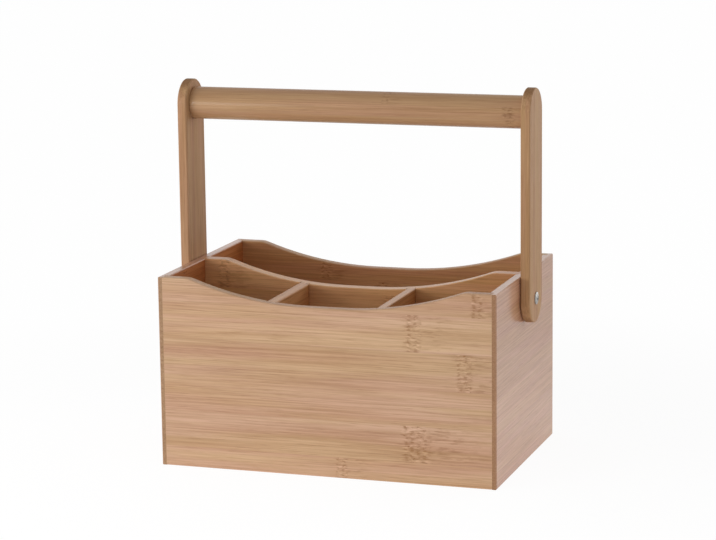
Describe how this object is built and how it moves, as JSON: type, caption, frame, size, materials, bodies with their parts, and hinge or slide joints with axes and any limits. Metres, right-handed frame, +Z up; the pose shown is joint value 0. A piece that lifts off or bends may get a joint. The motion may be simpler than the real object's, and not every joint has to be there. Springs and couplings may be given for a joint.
{
  "type": "utensil caddy",
  "caption": "Open bamboo utensil caddy with scooped boards, dividers for cutlery and a swinging carry handle with a round grip.",
  "frame": {"origin": "middle of the box on the table, under the upright handle", "axes": "+X to the right along the long front, +Y to the rear, +Z up"},
  "size_m": [0.2682, 0.16, 0.271],
  "materials": {
    "bamboo_wall": "clear satin lacquer on bamboo, grain lengthwise",
    "bamboo_end": "clear satin lacquer on bamboo, grain front to rear",
    "bamboo_divider": "clear satin lacquer on bamboo",
    "bamboo_base": "clear satin lacquer on bamboo",
    "bamboo_arm": "clear satin lacquer on bamboo, grain along the arm",
    "bamboo_grip": "clear satin lacquer on turned bamboo",
    "screw_steel": "zinc plated",
    "washer_nylon": "matt"
  },
  "bodies": {
    "box": {"base_board": "bamboo_base", "front_board": "bamboo_wall", "rear_board": "bamboo_wall", "left_end_board": "bamboo_end", "right_end_board": "bamboo_end", "long_divider": "bamboo_divider", "left_cross_divider": "bamboo_divider", "right_cross_divider": "bamboo_divider", "left_pivot_screw": "screw_steel", "right_pivot_screw": "screw_steel", "left_pivot_washer": "washer_nylon", "right_pivot_washer": "washer_nylon"},
    "handle": {"left_handle_arm": "bamboo_arm", "right_handle_arm": "bamboo_arm", "grip_bar": "bamboo_grip"}
  },
  "joints": [
    {"name": "handle_swing", "type": "hinge", "parent": "box", "child": "handle", "pos_m": [0, 0, 0.1205], "axis": [1, 0, 0], "range_deg": [-136, 136]}
  ]
}
